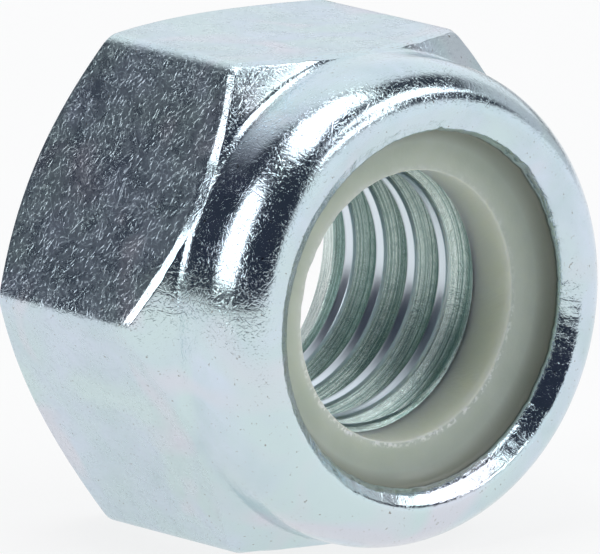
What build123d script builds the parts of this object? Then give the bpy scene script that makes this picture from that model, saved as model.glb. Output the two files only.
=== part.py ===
"""M8 hexagon lock nut with a nylon insert, lying on one of its six flats.

The steel nut is one forging: a threaded hexagon with turned cones at both ends and, at the front, a
thin collar that is rolled inwards over a nylon ring. The ring's bore is smaller than the screw, so
the screw cuts its way through it and is gripped.

The thread axis runs along X. The bearing face looks to -X and the rolled collar to +X. Two of the
flats are level, and the lower one lies on the plane Z = 0. The origin is on that plane, under the
thread axis, half way along the nut. Sizes are in millimetres and degrees.
"""

import os
from math import ceil, cos, radians, sin, tan

from build123d import *
from build123d.topology import SkipClean

# ---------------------------------------------------------------- driving dimensions
# Hexagon
nut_height = 9.5
across_flats = 12.9
corner_radius = 0.5
bearing_diameter = 12.3  # ring that seats on the work
bearing_cone_angle = 36.5  # from the bearing face
front_cone_angle = 40.0  # from the bearing face

# Collar: a thin wall that curls in over the ring and ends in a bevelled lip
collar_diameter = 12.8
collar_height = 2.7  # rim down to where the front cone meets the middle of a flat
collar_wall = 0.65
neck_radius = 0.5  # fillet where the front cone runs into the collar
curl_length = 1.73  # along the axis, from the straight wall to the rim
curl_reach = 1.22  # across it, from the straight wall to the rim
curl_break = 40.0  # how far the curl turns before it tightens
rim_width = 0.06  # flat left on top of the curl
lip_width = 0.46  # bevel from the rim to the lip's edge, across the axis
lip_drop = 0.41  # the same bevel, along the axis
lip_edge = 0.14  # thickness left at the lip

# Thread, M8 coarse, right-handed
major_diameter = 8.0
minor_diameter = 6.72
pitch = 1.25
flank_angle = 30.0  # of each flank, from a plane square to the axis
root_width = pitch / 8
thread_start = 0.65  # bearing face to the first groove in the steel, at the upper flat
bearing_countersink_diameter = 8.7
bearing_countersink_angle = 60.0  # included
seat_countersink_diameter = 7.08
seat_countersink_angle = 90.0  # included

# Nylon ring
seat_depth = 2.56  # rim down to the shoulder that the ring rests on
insert_bore_diameter = 7.08
insert_height = 1.5  # shoulder to the ring's inner edge
insert_edge = 0.1  # chamfer round the inner edge
insert_gap = 0.02  # left all round the ring where the collar closes on it

# ---------------------------------------------------------------- radii and heights that follow
apothem = across_flats / 2
corner_reach = apothem / cos(radians(30))
bearing_radius = bearing_diameter / 2
collar_radius = collar_diameter / 2
pocket_radius = collar_radius - collar_wall
ring_radius = pocket_radius - insert_gap
rim_radius = collar_radius - curl_reach
lip_radius = rim_radius - rim_width - lip_width
major_radius = major_diameter / 2
minor_radius = minor_diameter / 2
insert_bore_radius = insert_bore_diameter / 2

hexagon_height = nut_height - collar_height
seat_height = nut_height - seat_depth
curl_start = nut_height - curl_length
lip_height = nut_height - lip_drop
lip_under = lip_height - lip_edge
ring_top = seat_height + insert_height

front_cone_slope = tan(radians(front_cone_angle))
bearing_cone_height = (corner_reach - bearing_radius) * tan(radians(bearing_cone_angle))
front_cone_start = hexagon_height - (corner_reach - apothem) * front_cone_slope
neck_height = hexagon_height + (apothem - collar_radius) * front_cone_slope
neck_top = neck_height + neck_radius


def countersink_depth(diameter, angle):
    """Depth at which a countersink has narrowed to the bore."""
    return (diameter - minor_diameter) / 2 / tan(radians(angle / 2))


bearing_countersink_depth = countersink_depth(bearing_countersink_diameter, bearing_countersink_angle)
seat_countersink_depth = countersink_depth(seat_countersink_diameter, seat_countersink_angle)

# The curl is two arcs that meet in line, a wide one up from the wall and a tight one over to the rim
curl_turn = radians(curl_break)
curl_shift = (curl_length - curl_reach) / (sin(curl_turn) + cos(curl_turn) - 1)
wide_radius = curl_reach + curl_shift * cos(curl_turn)
tight_radius = wide_radius - curl_shift


def curl_inside(inset):
    """The curl's inner surface on the half section, this far in: a bevel under each of its arcs."""
    middle_radius = collar_radius - wide_radius + (wide_radius - inset) * cos(curl_turn)
    middle_height = curl_start + (wide_radius - inset) * sin(curl_turn)
    return [
        (collar_radius - inset, curl_start),
        (middle_radius, middle_height),
        (rim_radius, nut_height - inset),
    ]


# Planes: hexagons are drawn on the bearing face, and turned forms on a half section through the
# thread axis, where x is the radius and y the height above the bearing face
bearing_plane = Plane(origin=(-nut_height / 2, 0, apothem), x_dir=(0, 1, 0), z_dir=(1, 0, 0))
section_plane = Plane(origin=bearing_plane.origin, x_dir=(0, 1, 0), z_dir=(0, 0, -1))
thread_axis = Axis(bearing_plane.origin, bearing_plane.z_dir)

os.makedirs("parts", exist_ok=True)

# ---------------------------------------------------------------- one turn of the thread groove
# It starts at the upper flat, below the bearing face, and its profile reaches into the open bore
groove_reach = major_radius - minor_radius + root_width
groove_half_mouth = root_width / 2 + groove_reach * tan(radians(flank_angle))
turns_below = ceil((thread_start + groove_half_mouth) / pitch)
first_turn = thread_start - turns_below * pitch
turns = ceil((seat_height + groove_half_mouth - first_turn) / pitch)

groove_plane = Plane(
    origin=bearing_plane.origin + Vector(first_turn, 0, 0), x_dir=(0, 0, 1), z_dir=(0, 1, 0)
)

with BuildPart() as groove_turn:
    with BuildLine() as groove_path:
        Helix(pitch, pitch, major_radius, center=groove_plane.origin, direction=(1, 0, 0))
    with BuildSketch(groove_plane) as groove_profile:
        with BuildLine():
            Polyline(
                (major_radius, -root_width / 2),
                (major_radius, root_width / 2),
                (major_radius - groove_reach, groove_half_mouth),
                (major_radius - groove_reach, -groove_half_mouth),
                close=True,
            )
        make_face()
    sweep(path=groove_path.line, is_frenet=True)

# ---------------------------------------------------------------- nut body
with BuildPart() as nut_body:
    # Hexagonal blank, up to the neck of the collar
    with BuildSketch(bearing_plane) as blank:
        RegularPolygon(apothem, 6, major_radius=False)
        fillet(blank.vertices(), corner_radius)
    extrude(amount=neck_top)

    # Cones at both ends, and the fillet at the neck
    with BuildSketch(section_plane) as turned_form:
        with BuildLine():
            Polyline(
                (0, 0),
                (bearing_radius, 0),
                (corner_reach, bearing_cone_height),
                (corner_reach, front_cone_start),
                (collar_radius, neck_height),
                (collar_radius, neck_top),
                (0, neck_top),
                close=True,
            )
        make_face()
        neck_corner = turned_form.vertices().sort_by_distance((collar_radius, neck_height))[0]
        fillet(neck_corner, neck_radius)
    revolve(axis=thread_axis, mode=Mode.INTERSECT)

    # Outside of the collar, up over the curl and down to the lip
    with BuildSketch(section_plane) as collar_form:
        with BuildLine():
            wide = CenterArc((collar_radius - wide_radius, curl_start), wide_radius, 0, curl_break)
            tight = JernArc(wide @ 1, wide % 1, tight_radius, 90 - curl_break)
            Polyline(
                tight @ 1,
                (rim_radius - rim_width, nut_height),
                (lip_radius, lip_height),
                (0, lip_height),
                (0, neck_height),
                (collar_radius, neck_height),
                wide @ 0,
            )
        make_face()
    revolve(axis=thread_axis)

    # Pocket for the ring, under the curl, and open through the lip
    with BuildSketch(section_plane) as pocket_form:
        with BuildLine():
            Polyline(
                (0, seat_height),
                (pocket_radius, seat_height),
                *curl_inside(collar_wall),
                (lip_radius, lip_under),
                (lip_radius, nut_height),
                (0, nut_height),
                close=True,
            )
        make_face()
    revolve(axis=thread_axis, mode=Mode.SUBTRACT)

    # Bore at the thread's minor diameter, countersunk at both ends
    with BuildSketch(section_plane) as bore_form:
        with BuildLine():
            Polyline(
                (0, 0),
                (bearing_countersink_diameter / 2, 0),
                (minor_radius, bearing_countersink_depth),
                (minor_radius, seat_height - seat_countersink_depth),
                (seat_countersink_diameter / 2, seat_height),
                (0, seat_height),
                close=True,
            )
        make_face()

    # Its wall stays in two halves, and so the crest of the thread is in faces of half a turn
    with SkipClean():
        revolve(axis=thread_axis, revolution_arc=180, mode=Mode.SUBTRACT)
        other_half = bore_form.sketch.rotate(thread_axis, 180)
        revolve(other_half, axis=thread_axis, revolution_arc=180, mode=Mode.SUBTRACT)

        # Thread, cut turn by turn from below the bearing face to past the shoulder
        for turn in range(turns):
            add(groove_turn.part.translate((turn * pitch, 0, 0)), mode=Mode.SUBTRACT)

nut_body.part.label = "nut_body"
export_step(nut_body.part, "parts/nut_body.step")

# ---------------------------------------------------------------- nylon ring
with BuildPart() as nylon_insert:
    with BuildSketch(section_plane) as ring_form:
        with BuildLine():
            Polyline(
                (insert_bore_radius, seat_height),
                (ring_radius, seat_height),
                *curl_inside(collar_wall + insert_gap),
                (insert_bore_radius, ring_top),
                close=True,
            )
        make_face()
        inner_corner = ring_form.vertices().sort_by_distance((insert_bore_radius, ring_top))[0]
        chamfer(inner_corner, insert_edge)
    revolve(axis=thread_axis)

nylon_insert.part.label = "nylon_insert"
export_step(nylon_insert.part, "parts/nylon_insert.step")
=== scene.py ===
"""Looks of the M8 nylon insert lock nut: a zinc-plated steel nut with a rolled collar, and its nylon ring.

Metres, in the CAD frame: the thread axis runs along X at the height AXIS_Z, the bearing face looks
to -X and the nut lies on the plane Z = 0.

Both pieces are turned forms. Each mesh is a grid of columns round the thread axis, and each column
is the outline of the half section at its angle: height above the bearing face, and radius.
"""

import math

import bmesh
import bpy
import numpy as np
from mathutils import Matrix, Vector, noise


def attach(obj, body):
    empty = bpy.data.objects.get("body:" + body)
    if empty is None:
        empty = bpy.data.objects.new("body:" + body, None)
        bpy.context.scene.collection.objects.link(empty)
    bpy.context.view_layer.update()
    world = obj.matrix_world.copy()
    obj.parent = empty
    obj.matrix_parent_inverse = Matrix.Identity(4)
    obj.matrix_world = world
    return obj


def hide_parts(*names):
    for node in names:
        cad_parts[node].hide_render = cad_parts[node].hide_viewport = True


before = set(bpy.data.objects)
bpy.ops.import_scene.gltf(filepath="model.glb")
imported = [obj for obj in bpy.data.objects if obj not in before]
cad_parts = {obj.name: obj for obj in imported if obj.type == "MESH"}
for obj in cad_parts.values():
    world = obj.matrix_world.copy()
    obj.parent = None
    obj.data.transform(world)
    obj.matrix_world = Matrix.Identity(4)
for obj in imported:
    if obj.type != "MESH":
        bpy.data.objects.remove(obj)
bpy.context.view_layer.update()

MM = 0.001
WELD = 0.0005  # millimetres; corners nearer than this become one

# ---------------------------------------------------------------- sizes in millimetres, angles in radians
HEIGHT = 9.5
APOTHEM = 6.45
CORNER_RADIUS = 0.5
# Angle from the middle of a flat to where its rounded corner starts
FLAT_TURN = math.atan((APOTHEM - CORNER_RADIUS) * math.tan(math.radians(30)) / APOTHEM)
BEARING_RADIUS = 6.15
BEARING_SLOPE = math.tan(math.radians(36.5))
FRONT_SLOPE = math.tan(math.radians(40.0))
HEXAGON_HEIGHT = 6.8
FRONT_EDGE = 0.16

COLLAR_RADIUS = 6.4
NECK_HEIGHT = HEXAGON_HEIGHT + (APOTHEM - COLLAR_RADIUS) * FRONT_SLOPE
NECK_FILLET = 0.5
NECK_TURN = math.radians(50.0)
NECK_TOP = NECK_HEIGHT + NECK_FILLET * math.tan(NECK_TURN / 2)
CURL_LENGTH = 1.73
CURL_REACH = 1.22
CURL_BREAK = math.radians(40.0)
RIM_RADIUS = COLLAR_RADIUS - CURL_REACH
RIM_WIDTH = 0.06
LIP_RADIUS = 4.66
LIP_DROP = 0.41
LIP_EDGE = 0.14
LIP_NOTCH = math.radians(85)
POCKET_RADIUS = 5.75
WALL = COLLAR_RADIUS - POCKET_RADIUS

PITCH = 1.25
MAJOR_RADIUS = 4.0
MINOR_RADIUS = 3.36
GROOVE_AT_Y = 0.3375  # bearing face to the first groove, at the side that looks to +Y
ROOT_HALF = PITCH / 16
FLANK = math.tan(math.radians(30.0))
BEARING_SINK_RADIUS = 4.35
BEARING_SINK_SLOPE = math.tan(math.radians(30.0))
SEAT_SINK_RADIUS = 3.54
SEAT_HEIGHT = 6.94
THREAD_REACH = 4.34  # faces nearer the axis than this have the thread's material

RING_BORE = 3.54
RING_TOP = 8.44
GAP = 0.02

AXIS_Z = APOTHEM

# Columns round the axis, to a flat, to a corner and to the ring
FLAT_COLUMNS = 57
CORNER_COLUMNS = 8
RING_COLUMNS = 288

# Roundings of the edges
BEARING_ROUNDING = 0.12
CORNER_ROUNDING = 0.1
FACET_ROUNDING = 0.15
CONE_ROUNDING = 0.06
RIM_ROUNDING = 0.3
SHOULDER_ROUNDING = 0.12
RING_ROUNDING = 0.06

# Waves round the axis, each as its height, how tightly it is packed, and a seed
LIP_RAGGED = ((0.018, 9, 3.1), (0.02, 31, 8.4))
RIM_UNEVEN = ((0.05, 5, 1.7), (0.03, 22, 6.2))
RIM_FRAYED = ((0.015, 45, 4.6),)
FACET_WAVES = ((0.45, 18, 2.2),)  # as a share of the facet's width
RING_WAVES = ((0.05, 12, 5.5),)

# The worn facet at the front of the hexagon, the lip and the ring's face
FACET_ON_CONE = 0.6  # the facet's length on the cone, as a share of its length on the flat
FACET_CLEAR = 0.04
SHOULDER_DROP = 0.19  # the lip's bevel has two slopes, which meet at a shoulder
SHOULDER_REACH = 0.06
STEEP_DROP = 0.06  # added to both where the bevel is steepest
STEEP_REACH = 0.12
STEEP_TURN = math.radians(50)
NOTCH_DEPTH = 0.07
NOTCH_WIDTH = 0.02  # radians
RING_VALLEY = 0.16  # across, from the ring's bore to the lowest line of its face
RING_RAISED = 0.02
RING_UNDER_LIP = 0.05


# ---------------------------------------------------------------- grids
def column_angles():
    """Angles round the axis, close together at the hexagon's six rounded corners."""
    flat = np.linspace(-FLAT_TURN, FLAT_TURN, FLAT_COLUMNS)
    corner = np.linspace(FLAT_TURN, math.radians(60) - FLAT_TURN, CORNER_COLUMNS)[1:-1]
    sector = np.concatenate([flat, corner])
    return np.concatenate([math.radians(30) + sector + math.radians(60) * k for k in range(6)])


def hexagon_radius(angles):
    """Distance from the axis to the hexagonal blank with its rounded corners."""
    off_flat = np.mod(angles, math.radians(60)) - math.radians(30)
    off_corner = math.radians(30) - np.abs(off_flat)
    flat = APOTHEM / np.cos(off_flat)
    centre = (APOTHEM - CORNER_RADIUS) / math.cos(math.radians(30))
    reach = np.maximum(CORNER_RADIUS**2 - (centre * np.sin(off_corner)) ** 2, 0)
    arc = centre * np.cos(off_corner) + np.sqrt(reach)
    return np.where(np.abs(off_flat) > FLAT_TURN, arc, flat)


class Outline:
    """Rows of the half section, for every column at once. A row is a pair (heights, radii)."""

    def __init__(self, columns):
        self.columns = columns
        self.rows = []

    def point(self, height, radius):
        shape = np.zeros(self.columns)
        return np.stack([shape + height, shape + radius], axis=1)

    def row(self, point):
        self.rows.append(point)

    def run(self, end, steps):
        """Straight rows from the last row towards another, at these fractions of the way."""
        start = self.rows[-1]
        for step in steps:
            self.rows.append(start + (end - start) * step)

    def bend(self, before, corner, after, radius, steps, run):
        """A straight run up to a corner, at these fractions of it, and rows round the corner."""
        into = before - corner
        into /= np.linalg.norm(into, axis=1, keepdims=True)
        out = after - corner
        out /= np.linalg.norm(out, axis=1, keepdims=True)
        half = np.arccos(np.clip((into * out).sum(axis=1, keepdims=True), -1, 1)) / 2
        middle = into + out
        middle /= np.linalg.norm(middle, axis=1, keepdims=True)
        centre = corner + middle * radius / np.sin(half)
        first = corner + into * radius / np.tan(half) - centre
        last = corner + out * radius / np.tan(half) - centre
        turn = math.pi - 2 * half
        self.run(centre + first, run)
        for step in np.linspace(0, 1, steps + 1):
            first_share = np.sin((1 - step) * turn) / np.sin(turn)
            last_share = np.sin(step * turn) / np.sin(turn)
            self.rows.append(centre + first * first_share + last * last_share)


def spaced(count, hold=0.04):
    """Fractions of a run: count even steps, and one row close to each end."""
    return [hold, *np.linspace(0, 1, count + 1)[1:-1], 1 - hold]


def grid_faces(start, count, columns, turn_rows=0):
    """Quads between rows that follow each other. Where the grid climbs, the last column meets the
    first one a whole turn of rows further on."""
    index = start + np.arange(count * columns).reshape(count, columns)
    beside = np.empty_like(index)
    beside[:, :-1] = index[:, 1:]
    beside[:, -1] = index[np.minimum(np.arange(count) + turn_rows, count - 1), 0]
    quads = np.stack([index[:-1], beside[:-1], beside[1:], index[1:]], axis=2)
    return quads.reshape(-1, 4).tolist()


def add_grids(name, grids, angles):
    """A piece from grids of rows, welded where they meet. A grid is (rows, rows in a turn)."""
    vertices, faces = [], []
    for rows, turn_rows in grids:
        points = np.array(rows)
        x = points[:, :, 0] - HEIGHT / 2
        y = points[:, :, 1] * np.cos(angles)
        z = points[:, :, 1] * np.sin(angles) + AXIS_Z
        faces += grid_faces(len(vertices), len(rows), len(angles), turn_rows)
        vertices += (np.stack([x, y, z], axis=2) * MM).reshape(-1, 3).tolist()
    mesh = bpy.data.meshes.new(name)
    mesh.from_pydata(vertices, [], faces)
    edit = bmesh.new()
    edit.from_mesh(mesh)
    bmesh.ops.remove_doubles(edit, verts=edit.verts, dist=WELD * MM)
    bmesh.ops.recalc_face_normals(edit, faces=edit.faces)
    edit.to_mesh(mesh)
    edit.free()
    mesh.shade_smooth()
    piece = bpy.data.objects.new(name, mesh)
    bpy.context.collection.objects.link(piece)
    return piece


def around(angles, scale, seed):
    """Smooth noise between -1 and 1 that runs round the axis without a seam."""
    return np.array(
        [noise.noise(Vector((math.cos(a) * scale, math.sin(a) * scale, seed))) for a in angles]
    )


def waves(angles, table):
    """The sum of a table's waves."""
    return sum(height * around(angles, scale, seed) for height, scale, seed in table)


# ---------------------------------------------------------------- nut body
def curl_rows(outline, steps):
    """The collar's curl, two arcs that meet in line, from its straight wall to the rim."""
    shift = (CURL_LENGTH - CURL_REACH) / (math.sin(CURL_BREAK) + math.cos(CURL_BREAK) - 1)
    wide = CURL_REACH + shift * math.cos(CURL_BREAK)
    tight = wide - shift
    start = HEIGHT - CURL_LENGTH
    for angle in np.linspace(0, CURL_BREAK, steps)[:-1]:
        radius = COLLAR_RADIUS - wide + wide * math.cos(angle)
        outline.row(outline.point(start + wide * math.sin(angle), radius))
    for angle in np.linspace(CURL_BREAK, math.pi / 2, steps)[:-1]:
        radius = RIM_RADIUS + tight * math.cos(angle)
        outline.row(outline.point(HEIGHT - tight + tight * math.sin(angle), radius))


def bore_radius(height, climb):
    """Radius of the threaded bore where the thread has climbed this far at the column."""
    place = np.mod(height - climb - GROOVE_AT_Y + PITCH / 2, PITCH) - PITCH / 2
    groove = MAJOR_RADIUS - (np.abs(place) - ROOT_HALF) / FLANK
    thread = np.clip(groove, MINOR_RADIUS, MAJOR_RADIUS)
    bearing_sink = BEARING_SINK_RADIUS - height * BEARING_SINK_SLOPE
    seat_sink = SEAT_SINK_RADIUS - (SEAT_HEIGHT - height)
    return np.maximum(np.maximum(thread, bearing_sink), seat_sink)


def thread_grid(angles):
    """Rows that climb with the thread, held at the ends of the bore, and how many make a turn."""
    mouth = ROOT_HALF + (MAJOR_RADIUS - MINOR_RADIUS) * FLANK
    turn = [
        *np.linspace(-ROOT_HALF, ROOT_HALF, 4),
        *np.linspace(ROOT_HALF, mouth, 8)[1:],
        *np.linspace(mouth, PITCH - mouth, 5)[1:],
        *np.linspace(PITCH - mouth, PITCH - ROOT_HALF, 8)[1:-1],
    ]
    climb = PITCH * angles / (2 * math.pi)
    rows = []
    for k in range(-2, 7):
        for place in turn:
            height = np.clip(GROOVE_AT_Y + k * PITCH + place + climb, 0, SEAT_HEIGHT)
            rows.append(np.stack([height, bore_radius(height, climb)], axis=1))
    return rows, len(turn)


def neck_point_at(length):
    """Height and radius of the turned front, this far back from the top of the neck's fillet."""
    turn = np.minimum(length / NECK_FILLET, NECK_TURN)
    beyond = np.maximum(length - NECK_FILLET * NECK_TURN, 0)
    radius = COLLAR_RADIUS + NECK_FILLET * (1 - np.cos(turn)) + beyond * math.sin(NECK_TURN)
    height = NECK_TOP - NECK_FILLET * np.sin(turn) - beyond * math.cos(NECK_TURN)
    return np.stack([height, radius], axis=1)


def neck_length_to(radius):
    """How far back from the top of the neck's fillet the turned front reaches a radius."""
    out = radius - COLLAR_RADIUS
    arc_out = NECK_FILLET * (1 - math.cos(NECK_TURN))
    arc = NECK_FILLET * np.arccos(1 - np.minimum(out, arc_out) / NECK_FILLET)
    return arc + np.maximum(out - arc_out, 0) / math.sin(NECK_TURN)


def build_nut():
    """The steel nut: the outside from the bearing face to the lip, the pocket and the thread."""
    angles = column_angles()
    hexagon = hexagon_radius(angles)
    ragged = waves(angles, LIP_RAGGED)
    ragged += NOTCH_DEPTH * np.exp(-(((angles - LIP_NOTCH) / NOTCH_WIDTH) ** 2))
    uneven = np.abs(waves(angles, RIM_UNEVEN)) + np.abs(waves(angles, RIM_FRAYED))
    outline = Outline(len(angles))
    point = outline.point
    sink = point(0, BEARING_SINK_RADIUS)
    bearing_edge = point(0, BEARING_RADIUS)
    bearing_corner = point((hexagon - BEARING_RADIUS) * BEARING_SLOPE, hexagon)
    front_length = neck_length_to(hexagon)
    front_corner = neck_point_at(front_length)
    rim = point(HEIGHT, RIM_RADIUS - RIM_WIDTH - uneven)
    lip = point(HEIGHT - LIP_DROP, LIP_RADIUS + ragged)
    lip_under = point(HEIGHT - LIP_DROP - LIP_EDGE, LIP_RADIUS + ragged)

    outline.row(sink)
    outline.bend(sink, bearing_edge, bearing_corner, BEARING_ROUNDING, 3, [0.03, 0.5, 0.97])
    outline.bend(bearing_edge, bearing_corner, front_corner, CORNER_ROUNDING, 3, [0.1, 0.9])
    facet = FRONT_EDGE * (1 + waves(angles, FACET_WAVES))
    flat_end = front_corner - point(facet, 0)
    cone_length = front_length - FACET_ON_CONE * facet
    cone_start = neck_point_at(cone_length)
    rest = np.maximum(cone_length - FACET_CLEAR, 0.02)
    outline.bend(bearing_corner, flat_end, cone_start, FACET_ROUNDING, 3, spaced(5, 0.01))
    outline.bend(flat_end, cone_start, neck_point_at(rest), CONE_ROUNDING, 3, spaced(2, 0.05))
    arc = np.minimum(rest, NECK_FILLET * NECK_TURN)
    for step in (0.1, 0.5):
        outline.row(neck_point_at(rest + (arc - rest) * step))
    for step in np.linspace(0, 1, 7):
        outline.row(neck_point_at(arc * (1 - step)))
    curl_rows(outline, 9)
    steep = (1 + np.cos(angles + STEEP_TURN)) / 2
    shoulder_radius = LIP_RADIUS + SHOULDER_REACH + STEEP_REACH * steep + ragged
    shoulder = point(HEIGHT - SHOULDER_DROP - STEEP_DROP * steep, shoulder_radius)
    outline.bend(point(HEIGHT, COLLAR_RADIUS), rim, shoulder, RIM_ROUNDING, 6, [0.5])
    outline.bend(rim, shoulder, lip, SHOULDER_ROUNDING, 5, spaced(5))
    outline.row(lip)
    outline.row(lip_under)
    outline.row(point(HEIGHT - WALL, RIM_RADIUS))
    outline.row(point(HEIGHT - CURL_LENGTH, POCKET_RADIUS))
    outline.row(point(SEAT_HEIGHT, POCKET_RADIUS))
    thread, turn_rows = thread_grid(angles)
    outline.row(thread[-1])
    return add_grids("steel_nut", [(outline.rows, 0), (thread, turn_rows)], angles)


# ---------------------------------------------------------------- nylon ring
def build_ring():
    """The nylon ring: a dished top with a raised inner edge, and the bore that the screw cuts."""
    angles = np.linspace(0, 2 * math.pi, RING_COLUMNS, endpoint=False)
    outline = Outline(len(angles))
    point = outline.point
    seat_inner = point(SEAT_HEIGHT, RING_BORE)
    ridge = RING_RAISED + waves(angles, RING_WAVES)
    inner = point(RING_TOP + ridge, RING_BORE)
    valley = point(RING_TOP + RING_RAISED, RING_BORE + RING_VALLEY)
    at_lip = point(HEIGHT - LIP_DROP - LIP_EDGE - RING_UNDER_LIP, LIP_RADIUS)
    outline.row(seat_inner)
    outline.bend(seat_inner, inner, valley, RING_ROUNDING, 5, spaced(6))
    for step in np.linspace(0, 1, 17):
        weights = np.array([step**4, step])
        outline.row(valley + (at_lip - valley) * weights)
    outline.row(point(HEIGHT - WALL - GAP, RIM_RADIUS))
    outline.row(point(HEIGHT - CURL_LENGTH, POCKET_RADIUS - GAP))
    outline.row(point(SEAT_HEIGHT, POCKET_RADIUS - GAP))
    outline.row(seat_inner)
    return add_grids("nylon_ring", [(outline.rows, 0)], angles)


# ---------------------------------------------------------------- materials
ZINC_BLUE = (0.56, 0.68, 0.73, 1)
ZINC_PALE = (0.65, 0.74, 0.84, 1)
ZINC_GREEN = (0.62, 0.75, 0.77, 1)
ZINC_PINK = (0.69, 0.72, 0.79, 1)
PIT = (0.36, 0.37, 0.36, 1)
GROOVE_DARK = (0.30, 0.45, 0.42, 1)
GROOVE_PALE = (0.90, 1.0, 0.97, 1)
CREST = (0.74, 0.82, 0.88, 1)
NYLON_DARK = (0.49, 0.55, 0.47, 1)
NYLON_PALE = (0.55, 0.60, 0.52, 1)
# Painted light: the bore wall's lighter colour, for the light that comes through the nylon
NYLON_BORE_PAINTED_LIGHT = (0.80, 0.84, 0.69, 1)
NYLON_FRAYED = (0.88, 0.91, 0.84, 1)
# Painted shade: the dark colour of the ring's face in the lip's shadow
NYLON_PAINTED_LIP_SHADE = (0.20, 0.20, 0.14, 1)


class Nodes:
    """The nodes of a material or a world, added and linked in one call each."""

    def __init__(self, owner):
        self.owner = owner
        owner.use_nodes = True
        self.tree = owner.node_tree
        self.tree.nodes.clear()

    def add(self, kind, inputs=None, **settings):
        node = self.tree.nodes.new(kind)
        for key, value in settings.items():
            setattr(node, key, value)
        for key, value in (inputs or {}).items():
            if isinstance(value, bpy.types.NodeSocket):
                self.tree.links.new(value, node.inputs[key])
            else:
                node.inputs[key].default_value = value
        return node

    def millimetres(self):
        """The piece's own coordinates, in millimetres."""
        place = self.add("ShaderNodeTexCoord").outputs["Object"]
        scale = self.add("ShaderNodeVectorMath", {0: place, "Scale": 1000.0}, operation="SCALE")
        return scale.outputs[0]

    def noise(self, place, size, detail=3.0, roughness=0.5, distortion=0.0):
        """Noise whose lumps are about this many millimetres across."""
        node = self.add(
            "ShaderNodeTexNoise",
            {"Vector": place, "Scale": 1 / size, "Detail": detail, "Roughness": roughness},
        )
        node.inputs["Distortion"].default_value = distortion
        return node.outputs["Fac"]

    def spread(self, value, low, high, to_low=0.0, to_high=1.0):
        """A value from the range low to high, brought to another range."""
        node = self.add(
            "ShaderNodeMapRange", {0: value, 1: low, 2: high, 3: to_low, 4: to_high}, clamp=True
        )
        return node.outputs[0]

    def mix(self, factor, first, second):
        node = self.add("ShaderNodeMix", data_type="RGBA")
        for index, value in ((0, factor), (6, first), (7, second)):
            socket = node.inputs[index]
            if isinstance(value, bpy.types.NodeSocket):
                self.tree.links.new(value, socket)
            else:
                socket.default_value = value
        return node.outputs[2]

    def math(self, operation, first, second):
        return self.add("ShaderNodeMath", {0: first, 1: second}, operation=operation).outputs[0]

    def window(self, value, low, high, soft):
        """1 where a value is between low and high, fading out over soft on both sides."""
        rise = self.spread(value, low - soft, low + soft)
        fall = self.spread(value, high - soft, high + soft, 1.0, 0.0)
        return self.math("MULTIPLY", rise, fall)

    def finish(self, shader, output="ShaderNodeOutputMaterial"):
        self.add(output, {"Surface": shader})
        return self.owner


def scratches(nodes, place, cell, width, length):
    """Short straight scratches in every direction, about one to a cell of this size."""
    cells = nodes.add("ShaderNodeTexVoronoi", {"Vector": place, "Scale": 1 / cell})
    apart = nodes.add(
        "ShaderNodeVectorMath", {0: place, 1: cells.outputs["Position"]}, operation="SUBTRACT"
    ).outputs[0]
    toss = nodes.add(
        "ShaderNodeVectorMath", {0: cells.outputs["Color"], 1: (0.5, 0.5, 0.5)}, operation="SUBTRACT"
    ).outputs[0]
    across = nodes.add("ShaderNodeVectorMath", {0: toss}, operation="NORMALIZE").outputs[0]
    off = nodes.add("ShaderNodeVectorMath", {0: apart, 1: across}, operation="DOT_PRODUCT")
    away = nodes.add("ShaderNodeVectorMath", {0: apart}, operation="LENGTH")
    line = nodes.spread(nodes.math("ABSOLUTE", off.outputs["Value"], 0.0), 0.0, width, 1.0, 0.0)
    near = nodes.spread(away.outputs["Value"], 0.4 * length, length, 1.0, 0.0)
    return nodes.math("MULTIPLY", line, near)


def polar(nodes, place):
    """Distance along the nut, from its axis, up from its axis, and along it less the thread's climb."""
    along, across, up = nodes.add("ShaderNodeSeparateXYZ", {0: place}).outputs
    up = nodes.math("SUBTRACT", up, AXIS_Z)
    squares = nodes.math("ADD", nodes.math("POWER", across, 2.0), nodes.math("POWER", up, 2.0))
    turned = nodes.math("DIVIDE", nodes.math("ARCTAN2", up, across), 2 * math.pi)
    climbed = nodes.math("SUBTRACT", along, nodes.math("MULTIPLY", turned, PITCH))
    return along, nodes.math("SQRT", squares, 0.0), up, climbed


def radial(nodes, place, out):
    """Coordinates for fine lines that run in towards the axis."""
    sideways = nodes.add(
        "ShaderNodeMapping", {"Vector": place, "Location": (0, 0, -AXIS_Z), "Scale": (0, 1, 1)}
    ).outputs[0]
    towards = nodes.add("ShaderNodeVectorMath", {0: sideways}, operation="NORMALIZE").outputs[0]
    fine = nodes.add("ShaderNodeVectorMath", {0: towards, "Scale": 60.0}, operation="SCALE").outputs[0]
    away = nodes.add("ShaderNodeCombineXYZ", {0: nodes.math("MULTIPLY", out, 3.0)}).outputs[0]
    return nodes.add("ShaderNodeVectorMath", {0: fine, 1: away}, operation="ADD").outputs[0]


def zinc_colour(nodes, place):
    """Pale blue-white with faint green and pink clouds."""
    cloud = nodes.spread(nodes.noise(place, 1.6, 4.0, 0.6), 0.35, 0.65)
    tint = nodes.spread(nodes.noise(place, 3.1, 2.0, 0.5, 1.0), 0.4, 0.62)
    rosy = nodes.spread(nodes.noise(place, 2.6, 1.0, 0.5, 0.6), 0.55, 0.7)
    colour = nodes.mix(cloud, ZINC_BLUE, ZINC_PALE)
    colour = nodes.mix(tint, colour, ZINC_GREEN)
    return nodes.mix(rosy, colour, ZINC_PINK)


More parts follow.
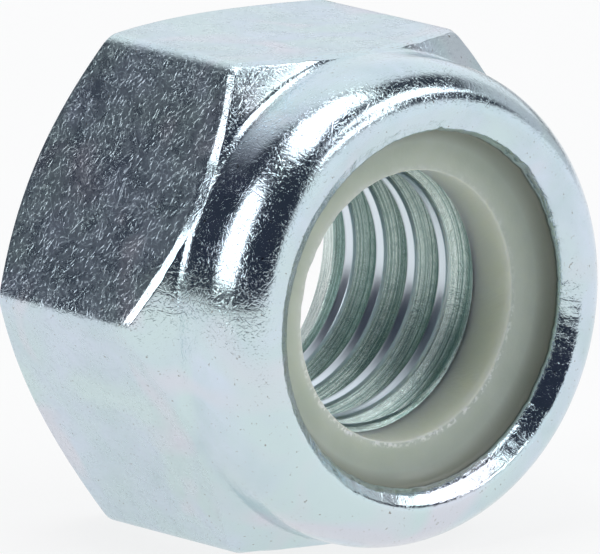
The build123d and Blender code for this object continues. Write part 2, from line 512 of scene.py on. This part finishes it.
def zinc_material():
    """Bright zinc plate with a blue passivated tint, and the small marks of barrel tumbling."""
    nodes = Nodes(bpy.data.materials.new("zinc_plate"))
    place = nodes.millimetres()
    along, out, _, _ = polar(nodes, place)
    normal = nodes.add("ShaderNodeNewGeometry").outputs["Normal"]
    facing = nodes.add("ShaderNodeSeparateXYZ", {0: normal})
    sloped = nodes.spread(nodes.math("ABSOLUTE", facing.outputs[0], 0.0), 0.1, 0.4)
    # 0 on the six flats, and 1 on the collar, the cones and the bearing face
    smooth = nodes.math("MAXIMUM", nodes.spread(along, 1.7, 2.6), sloped)
    grain = nodes.math("SUBTRACT", nodes.noise(place, 0.07, 2.0, 0.6), 0.55)
    patches = nodes.spread(nodes.noise(place, 0.7, 4.0, 0.65), 0.38, 0.62, 0.5, 3.4)
    grain = nodes.math("MULTIPLY", nodes.math("MAXIMUM", grain, 0.0), patches)
    lines = nodes.math(
        "MAXIMUM",
        scratches(nodes, place, 0.12, 0.014, 0.1),
        scratches(nodes, place, 0.26, 0.016, 0.22),
    )
    lines = nodes.math("MAXIMUM", lines, scratches(nodes, place, 0.9, 0.02, 0.75))
    lines = nodes.math("MULTIPLY", lines, nodes.spread(smooth, 0.0, 1.0, 0.54, 0.22))
    at_corner = nodes.spread(out, 6.95, 7.3, 0.0, 2.0)
    knocks = nodes.math("MULTIPLY", nodes.noise(place, 0.14, 3.0, 0.6), at_corner)
    on_collar = nodes.spread(along, 2.2, 4.2, 0.1, 0.5)
    streaks = nodes.noise(radial(nodes, place, out), 1.0, 2.0, 0.6)
    drawn = nodes.math("MULTIPLY", streaks, on_collar)
    height = nodes.math("SUBTRACT", nodes.math("ADD", nodes.math("ADD", grain, knocks), drawn), lines)
    bump = nodes.add("ShaderNodeBump", {"Strength": 1.0, "Distance": 0.000008, "Height": height})
    haze = nodes.spread(nodes.noise(place, 0.8, 6.0, 0.72), 0.3, 0.7, 0.8, 1.2)
    rough = nodes.math("MULTIPLY", haze, nodes.spread(smooth, 0.0, 1.0, 0.285, 0.15))
    pits = nodes.spread(nodes.noise(place, 0.1, 2.0, 0.5), 0.68, 0.76)
    colour = nodes.mix(pits, zinc_colour(nodes, place), PIT)
    shader = nodes.add(
        "ShaderNodeBsdfPrincipled",
        {"Base Color": colour, "Metallic": 1.0, "Roughness": rough, "Normal": bump.outputs[0]},
    )
    return nodes.finish(shader.outputs[0])


def thread_material():
    """The same plate in the bore, over the fine lines that the tap left along the thread."""
    nodes = Nodes(bpy.data.materials.new("zinc_plate_thread"))
    place = nodes.millimetres()
    _, out, _, climbed = polar(nodes, place)
    spiral = nodes.add("ShaderNodeCombineXYZ", {0: climbed, 1: out, 2: 0.0}).outputs[0]
    lines = nodes.noise(spiral, 0.06, 5.0, 0.75)
    worn = nodes.noise(place, 0.2, 4.0, 0.65)
    grain = nodes.noise(place, 0.05, 3.0, 0.65)
    groove = nodes.spread(out, MINOR_RADIUS + 0.02, MINOR_RADIUS + 0.08)
    marks = nodes.math("MULTIPLY", lines, nodes.spread(worn, 0.3, 0.6, 0.5, 1.2))
    height = nodes.math("ADD", marks, nodes.math("MULTIPLY", grain, 0.8))
    height = nodes.math("MULTIPLY", height, nodes.spread(groove, 0.0, 1.0, 0.12, 1.0))
    bump = nodes.add("ShaderNodeBump", {"Strength": 1.0, "Distance": 0.000014, "Height": height})
    fading = nodes.spread(worn, 0.35, 0.55, 0.6, 1.0)
    stripes = nodes.math("MULTIPLY", nodes.spread(lines, 0.4, 0.58), fading)
    green = nodes.mix(stripes, GROOVE_DARK, GROOVE_PALE)
    colour = nodes.mix(groove, CREST, green)
    rough = nodes.spread(groove, 0.0, 1.0, 0.3, 0.26)
    shader = nodes.add(
        "ShaderNodeBsdfPrincipled",
        {"Base Color": colour, "Metallic": 1.0, "Roughness": rough, "Normal": bump.outputs[0]},
    )
    return nodes.finish(shader.outputs[0])


def nylon_material():
    """Natural nylon, grey and a little translucent, with a pale frayed inner edge. The bore wall has
    painted light, a lighter colour for the light that comes through the nylon, and the face has painted
    shade towards the lip.
    """
    nodes = Nodes(bpy.data.materials.new("nylon"))
    place = nodes.millimetres()
    _, out, up, _ = polar(nodes, place)
    cloud = nodes.spread(nodes.noise(place, 1.2, 3.0), 0.3, 0.7)
    colour = nodes.mix(cloud, NYLON_DARK, NYLON_PALE)
    # Painted light: the bore wall gets a lighter colour than the face, for the light that comes through
    # the nylon
    wall = nodes.spread(out, RING_BORE + 0.01, RING_BORE + 0.05, 1.0, 0.0)
    colour = nodes.mix(wall, colour, NYLON_BORE_PAINTED_LIGHT)
    near_edge = nodes.window(out, RING_BORE + 0.03, RING_BORE + 0.14, 0.04)
    frayed = nodes.spread(nodes.noise(place, 0.14, 3.0, 0.6), 0.5, 0.6)
    near_edge = nodes.math("MULTIPLY", near_edge, nodes.spread(up, -3.0, 0.0, 1.0, 0.15))
    colour = nodes.mix(nodes.math("MULTIPLY", near_edge, frayed), colour, NYLON_FRAYED)
    # Painted shade: the face darkens towards the lip, for the shadow that the lip casts over it
    at_lip = nodes.spread(out, LIP_RADIUS - 0.35, LIP_RADIUS, 0.0, 0.75)
    colour = nodes.mix(at_lip, colour, NYLON_PAINTED_LIP_SHADE)
    grain = nodes.noise(place, 0.12, 3.0, 0.6)
    turned = nodes.add("ShaderNodeMapping", {"Vector": place, "Rotation": (0.0, 0.5, 0.0)}).outputs[0]
    drawn = nodes.add("ShaderNodeMapping", {"Vector": turned, "Scale": (0.6, 12.0, 12.0)}).outputs[0]
    striae = nodes.math("MULTIPLY", nodes.noise(drawn, 1.0, 2.0), nodes.math("MULTIPLY", wall, 2.0))
    height = nodes.math("ADD", grain, striae)
    bump = nodes.add("ShaderNodeBump", {"Strength": 0.5, "Distance": 0.00001, "Height": height})
    shader = nodes.add(
        "ShaderNodeBsdfPrincipled",
        {
            "Base Color": colour,
            "Roughness": 0.38,
            "Subsurface Weight": 1.0,
            "Subsurface Radius": (0.002, 0.0019, 0.0015),
            "Subsurface Scale": 1.0,
            "Normal": bump.outputs[0],
        },
    )
    return nodes.finish(shader.outputs[0])


# ---------------------------------------------------------------- studio
def add_quad(name, corners, material):
    mesh = bpy.data.meshes.new(name)
    mesh.from_pydata(corners, [], [(0, 1, 2, 3)])
    quad = bpy.data.objects.new(name, mesh)
    mesh.materials.append(material)
    bpy.context.collection.objects.link(quad)


# Soft lights in a dim room: azimuth from and to, elevation from and to, softness, in degrees,
# brightness, and how far the light's edges bow down away from BOW_AZIMUTH.
# Azimuth 0 is -Y and 90 is +X.
SOFT_LIGHTS = (
    (-28, 3, 10, 48, 1.0, 3.2, 0),
    (-161, -95, 4, 68, 4, 0.98, 0),
    (-112, -76, 34, 68, 11, 0.85, 0),
    (120, 165, 48, 70, 2.0, 3.2, 0.004),
    (86, 124, 34, 45, 2.5, 3.2, 0.004),
    (80, 126, 55, 64, 2, 2.2, 0),
    (-75, 55, 68, 95, 2, 3.6, 0),
    (-183, -60, 74, 95, 3, 3.6, 0),
    (152, 183, 73, 95, 3, 3.6, 0),
    (-183, 183, 84, 95, 3, 3.6, 0),
    (86, 190, -20, 28, 3, 0.98, 0.004),
    (165, 183, -5, 33, 3, 0.6, 0),
    (-183, -160, -5, 33, 3, 0.6, 0),
)
BOW_AZIMUTH = 100.0
LIGHT_COLOUR = (0.97, 0.99, 1, 1)
WALLS = (0.028, 0.033, 0.052)
FLOOR_GLOW = 0.8
FLOOR_HALF = 0.6  # metres


def build_studio():
    """A white floor in a dim room with soft lights, and white behind for the camera."""
    nodes = Nodes(bpy.data.worlds.new("studio"))
    bpy.context.scene.world = nodes.owner
    direction = nodes.add("ShaderNodeTexCoord").outputs["Generated"]
    apart = nodes.add("ShaderNodeSeparateXYZ", {0: direction}).outputs
    azimuth = nodes.math("ARCTAN2", apart[0], nodes.math("MULTIPLY", apart[1], -1.0))
    azimuth = nodes.math("DEGREES", azimuth, 0.0)
    elevation = nodes.math("DEGREES", nodes.math("ARCSINE", apart[2], 0.0), 0.0)
    aside = nodes.math("POWER", nodes.math("SUBTRACT", azimuth, BOW_AZIMUTH), 2.0)
    glow = 0.0
    for left, right, low, high, soft, strength, bow in SOFT_LIGHTS:
        across = nodes.window(azimuth, left, right, soft)
        bowed = nodes.math("ADD", elevation, nodes.math("MULTIPLY", aside, bow))
        along = nodes.window(bowed, low, high, soft)
        light = nodes.math("MULTIPLY", nodes.math("MULTIPLY", across, along), strength)
        glow = nodes.math("MAXIMUM", glow, light)
    lights = nodes.add("ShaderNodeEmission", {"Color": LIGHT_COLOUR, "Strength": glow})
    walls = nodes.add("ShaderNodeEmission", {"Color": (*WALLS, 1), "Strength": 1.0})
    room = nodes.add("ShaderNodeAddShader", {0: lights.outputs[0], 1: walls.outputs[0]})
    white = nodes.add("ShaderNodeEmission", {"Color": (1, 1, 1, 1), "Strength": 1.0})
    camera = nodes.add("ShaderNodeLightPath").outputs["Is Camera Ray"]
    both = nodes.add("ShaderNodeMixShader", {0: camera, 1: room.outputs[0], 2: white.outputs[0]})
    nodes.finish(both.outputs[0], "ShaderNodeOutputWorld")

    nodes = Nodes(bpy.data.materials.new("white_floor"))
    paint = nodes.add("ShaderNodeBsdfDiffuse", {"Color": (0.9, 0.9, 0.9, 1)}).outputs[0]
    glowing = nodes.add("ShaderNodeEmission", {"Color": (1, 1, 1, 1), "Strength": 1.0}).outputs[0]
    ray = nodes.add("ShaderNodeLightPath").outputs
    seen = nodes.math("MAXIMUM", ray["Is Camera Ray"], ray["Is Glossy Ray"])
    share = nodes.math("MULTIPLY", seen, FLOOR_GLOW)
    floor = nodes.finish(nodes.add("ShaderNodeMixShader", {0: share, 1: paint, 2: glowing}).outputs[0])
    signs = ((-1, -1), (1, -1), (1, 1), (-1, 1))
    add_quad("floor", [(x * FLOOR_HALF, y * FLOOR_HALF, 0) for x, y in signs], floor)


# ---------------------------------------------------------------- camera
CAMERA_AZIMUTH = math.radians(49.86)
CAMERA_ELEVATION = math.radians(12.11)
CAMERA_DISTANCE = 496.15
CAMERA_AIM = Vector((-0.781, 0, 6.45))
SHIFT_RIGHT = 0.145
SHIFT_UP = 0.031
LENS = 1149
SENSOR_WIDTH = 36


def build_camera():
    """A long lens, half a metre away, that looks a little down on the nut."""
    level = math.cos(CAMERA_ELEVATION)
    back = Vector(
        (
            math.sin(CAMERA_AZIMUTH) * level,
            -math.cos(CAMERA_AZIMUTH) * level,
            math.sin(CAMERA_ELEVATION),
        )
    )
    turned = (-back).to_track_quat("-Z", "Y").to_matrix()
    right, up = turned.col[0], turned.col[1]
    aim = CAMERA_AIM + right * SHIFT_RIGHT + up * SHIFT_UP
    data = bpy.data.cameras.new("camera")
    data.lens = LENS
    data.sensor_width = SENSOR_WIDTH
    data.clip_start, data.clip_end = 0.05, 5
    camera = bpy.data.objects.new("camera", data)
    camera.matrix_world = Matrix.Translation((aim + back * CAMERA_DISTANCE) * MM) @ turned.to_4x4()
    bpy.context.collection.objects.link(camera)
    bpy.context.scene.camera = camera


bpy.context.scene.view_settings.view_transform = "Standard"
build_camera()
build_studio()

nut = build_nut()
nut.data.materials.append(zinc_material())
nut.data.materials.append(thread_material())
for face in nut.data.polygons:
    reach = math.hypot(face.center.y, face.center.z - AXIS_Z * MM)
    face.material_index = int(reach < THREAD_REACH * MM)
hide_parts("nut_body")
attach(nut, "root")

ring = build_ring()
ring.data.materials.append(nylon_material())
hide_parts("nylon_insert")
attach(ring, "root")
